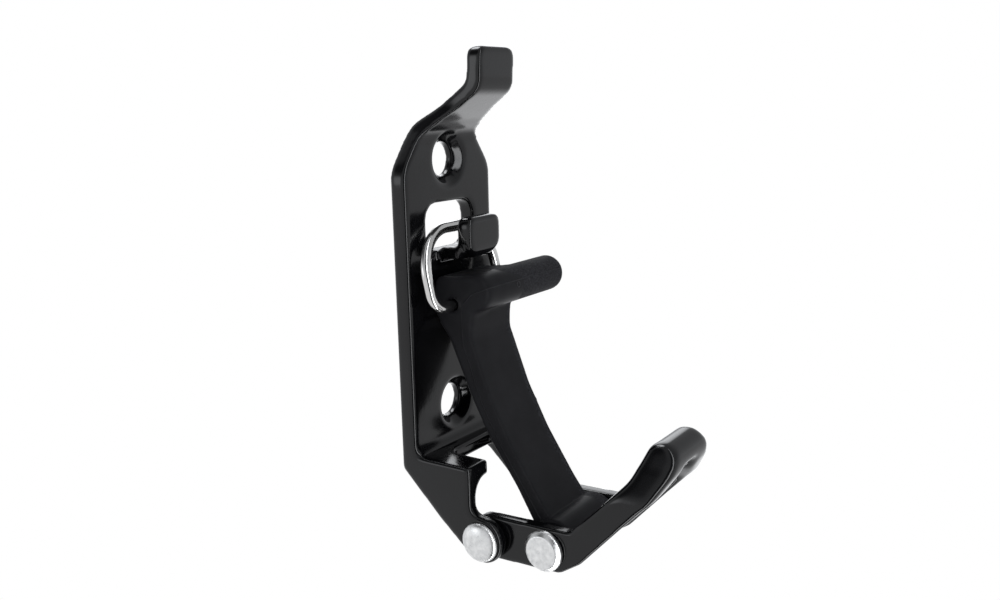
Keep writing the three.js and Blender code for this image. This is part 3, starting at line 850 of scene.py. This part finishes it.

# %% [markdown]
# ## Hardware in place
# The two short rivets stay with the bracket's ears. The long rivet, its washer and the sleeve go round with
# the lever, because they are fixed in its arms.

# %% Hardware in place
hardware = {
    "lever_rivet_left": (short_rivet("domed_rivet_left", LEVER_AXIS, False), "bracket"),
    "lever_rivet_right": (short_rivet("domed_rivet_right", LEVER_AXIS, True), "bracket"),
    "strap_rivet": (long_rivet("flat_rivet", ARM_X, STRAP_AXIS, flat_head), "lever"),
    "strap_rivet_washer": (
        washer("washer_by_the_arm", PIN_R + GAP, WASHER_R, ARM_X + GAP, WASHER_T, STRAP_AXIS),
        "lever",
    ),
    "strap_sleeve": (
        washer(
            "sleeve_in_the_strap",
            PIN_R + PIN_FIT,
            PIN_R + PIN_FIT + 1 * MM,
            -ARM_INNER_X + GAP,
            2 * (ARM_INNER_X - GAP),
            STRAP_AXIS,
        ),
        "lever",
    ),
}
for node, (piece, body) in hardware.items():
    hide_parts(node)
    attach(piece, body)

# %% [markdown]
# ## Studio
# The rack stands in a white tent: bright walls and floor with no hard shadow. Gloss black shows nothing but
# its surroundings, so the tent has things in it that draw the shape. The camera looks through a tall dark
# opening that holds a narrow strip lamp. Together they put a dark, bright, dark line along every rounded
# edge that faces the camera. The opening and the lamp also show on the floor, which carries them on
# downwards, and a brighter patch of floor behind the rack lights the underside of the neck.

# %% Floor
STRIP_POWER = 6.0
OPENING_TURN, OPENING_INNER, OPENING_OUTER = 13, 26, 33  # degrees round from the camera, and half widths
STRIP_TURN, STRIP_INNER, STRIP_OUTER = 23, 5, 9
FLOOR_Z = -0.2
FLOOR_HALF = 4
mouth = Vector((CAMERA_PLACE[0], CAMERA_PLACE[1], 0)).normalized()


def from_mouth(tree, place, turned_by):
    """How well a direction or a place on the floor lines up, from above, with the turned camera side."""
    toward = Matrix.Rotation(math.radians(turned_by), 3, "Z") @ mouth
    level = add(tree, "ShaderNodeVectorMath", {0: place, 1: (1, 1, 0)}, operation="MULTIPLY").outputs[0]
    level = add(tree, "ShaderNodeVectorMath", {0: level}, operation="NORMALIZE").outputs[0]
    return add(tree, "ShaderNodeVectorMath", {0: level, 1: toward}, operation="DOT_PRODUCT").outputs["Value"]


def degrees_off(tree, value, inner, outer, inside, outside):
    """`inside` up to `inner` degrees off, `outside` past `outer`. The value is a cosine."""
    return band(tree, value, math.cos(math.radians(outer)), math.cos(math.radians(inner)), outside, inside)


def dark_opening(tree, place):
    lined_up = from_mouth(tree, place, OPENING_TURN)
    return degrees_off(tree, lined_up, OPENING_INNER, OPENING_OUTER, 0.03, 1.0)


def strip_lamp(tree, place):
    lined_up = from_mouth(tree, place, STRIP_TURN)
    return degrees_off(tree, lined_up, STRIP_INNER, STRIP_OUTER, STRIP_POWER, 0.0)


floor = bpy.data.objects.new("floor", bpy.data.meshes.new("floor"))
corners = [(x * FLOOR_HALF, y * FLOOR_HALF, FLOOR_Z) for x, y in ((-1, -1), (1, -1), (1, 1), (-1, 1))]
floor.data.from_pydata(corners, [], [(0, 1, 2, 3)])
bpy.context.scene.collection.objects.link(floor)
material, tree, shader = new_material("pale_lit_floor")
place = add(tree, "ShaderNodeTexCoord").outputs["Object"]
axes = add(tree, "ShaderNodeSeparateXYZ", {"Vector": place})
to_the_right = band(tree, axes.outputs["X"], 0.0, 0.3, 0.0, 1.0)
behind = band(tree, axes.outputs["Y"], -0.15, 0.1, 0.0, 1.0)
patch = calculate(tree, "MULTIPLY", to_the_right, behind)
from_left_to_right = band(tree, axes.outputs["X"], -0.3, 0.2, 0.8, 0.7)
lit_floor = calculate(tree, "MULTIPLY", from_left_to_right, dark_opening(tree, place))
glow = calculate(tree, "ADD", lit_floor, calculate(tree, "MULTIPLY", patch, 1.05))
glow = calculate(tree, "ADD", glow, strip_lamp(tree, place))
seen = add(tree, "ShaderNodeLightPath").outputs["Is Camera Ray"]
white = add(tree, "ShaderNodeEmission", {"Color": colour("#ffffff"), "Strength": 1.0})
lit = add(tree, "ShaderNodeEmission", {"Color": colour("#fcfdff"), "Strength": glow})
both = add(tree, "ShaderNodeMixShader", {0: seen, 1: lit.outputs[0], 2: white.outputs[0]})
output = [n for n in tree.nodes if n.type == "OUTPUT_MATERIAL"][0]
tree.links.new(both.outputs[0], output.inputs["Surface"])
tree.nodes.remove(shader)
floor.data.materials.append(material)
print("floor with", len(tree.nodes), "nodes, tent opening toward", [round(c, 2) for c in mouth])

# %% [markdown]
# ## Tent
# The walls are a little darker higher up. Round lamps overhead and behind the rack edge what faces up and
# what is seen at a slant, and a dark gap in the left wall deepens the sides. What the camera sees straight
# on stays plain white.

# %% Tent
world = bpy.data.worlds.new("white_tent")
bpy.context.scene.world = world
world.use_nodes = True
sky = world.node_tree
sky.nodes.clear()
direction = add(sky, "ShaderNodeTexCoord").outputs["Generated"]


def within(toward, inner, outer, inside, outside):
    """A round patch of the tent: `inside` up to `inner` degrees from a direction, `outside` past `outer`."""
    near = add(
        sky, "ShaderNodeVectorMath", {0: direction, 1: Vector(toward).normalized()}, operation="DOT_PRODUCT"
    ).outputs["Value"]
    return degrees_off(sky, near, inner, outer, inside, outside)


opening = dark_opening(sky, direction)
lamp_overhead = within((0.17, 0.5, 0.85), 11, 16, 7.0, 0.0)
lamp_behind_right = within((0.75, 0.52, 0.42), 13, 19, 2.0, 0.0)
lamp_behind_left = within((-0.8, 0.6, 0.08), 5, 14, 1.3, 0.0)
dark_gap = within((-0.55, 0.5, 0.62), 12, 24, 0.15, 1.0)
height = add(sky, "ShaderNodeSeparateXYZ", {"Vector": direction}).outputs["Z"]
walls = band(sky, height, -0.05, 0.5, 0.82, 0.48)
lit = calculate(sky, "MULTIPLY", calculate(sky, "MULTIPLY", opening, dark_gap), walls)
for lamp in (strip_lamp(sky, direction), lamp_overhead, lamp_behind_right, lamp_behind_left):
    lit = calculate(sky, "ADD", lit, lamp)
seen = add(sky, "ShaderNodeLightPath").outputs["Is Camera Ray"]
plain = add(sky, "ShaderNodeBackground", {"Color": colour("#ffffff"), "Strength": 1.0})
tent = add(sky, "ShaderNodeBackground", {"Color": colour("#fafcff"), "Strength": lit})
mixed = add(sky, "ShaderNodeMixShader", {0: seen, 1: tent.outputs[0], 2: plain.outputs[0]})
add(sky, "ShaderNodeOutputWorld", {"Surface": mixed.outputs[0]})
bpy.context.scene.view_settings.view_transform = "Standard"
print("tent with", len(sky.nodes), "nodes")
